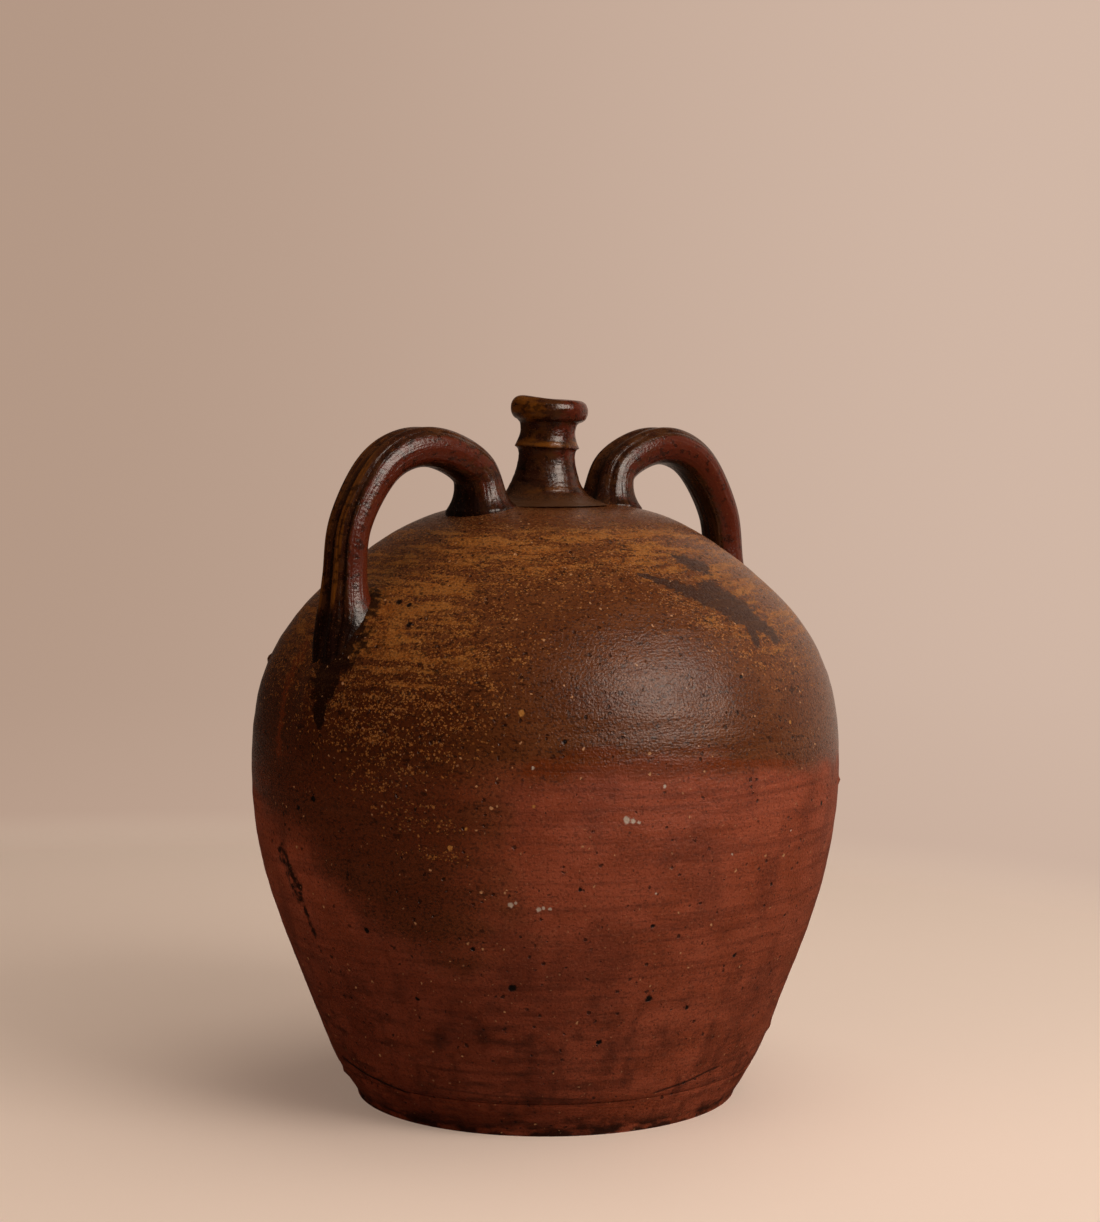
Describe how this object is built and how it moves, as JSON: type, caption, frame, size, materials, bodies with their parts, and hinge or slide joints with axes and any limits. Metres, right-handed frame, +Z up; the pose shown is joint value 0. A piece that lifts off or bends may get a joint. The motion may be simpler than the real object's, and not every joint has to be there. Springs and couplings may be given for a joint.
{
  "type": "liquor jar",
  "caption": "Big-bellied glazed earthenware liquor jar with a narrow collared neck, a rolled lip and a strap handle on each side from neck to shoulder.",
  "frame": {"origin": "middle of the flat foot, on the surface that the jar stands on", "axes": "+Z up along the jar's axis; the two handles lie along +X and -X; the neck leans a little towards +X and -Y"},
  "size_m": [0.3598, 0.3598, 0.425],
  "materials": {
    "raw_red_foot": "fired red clay, dark and dirty at the edge, matt",
    "brick_red_slip": "thin brick-red iron slip glaze, satin, with drips, iron spots and pits",
    "ochre_iron_glaze": "ochre-brown iron glaze, finely speckled dark, satin",
    "dark_neck_glaze": "dark reddish-brown iron glaze, glossy, crinkled",
    "dark_handle_glaze": "dark reddish-brown iron glaze, glossy, ochre where it thins on the ridges"
  },
  "bodies": {
    "root": {"base": "raw_red_foot", "lower_wall": "brick_red_slip", "shoulder": "ochre_iron_glaze", "neck": "dark_neck_glaze", "handle_left": "dark_handle_glaze", "handle_right": "dark_handle_glaze"}
  },
  "joints": []
}
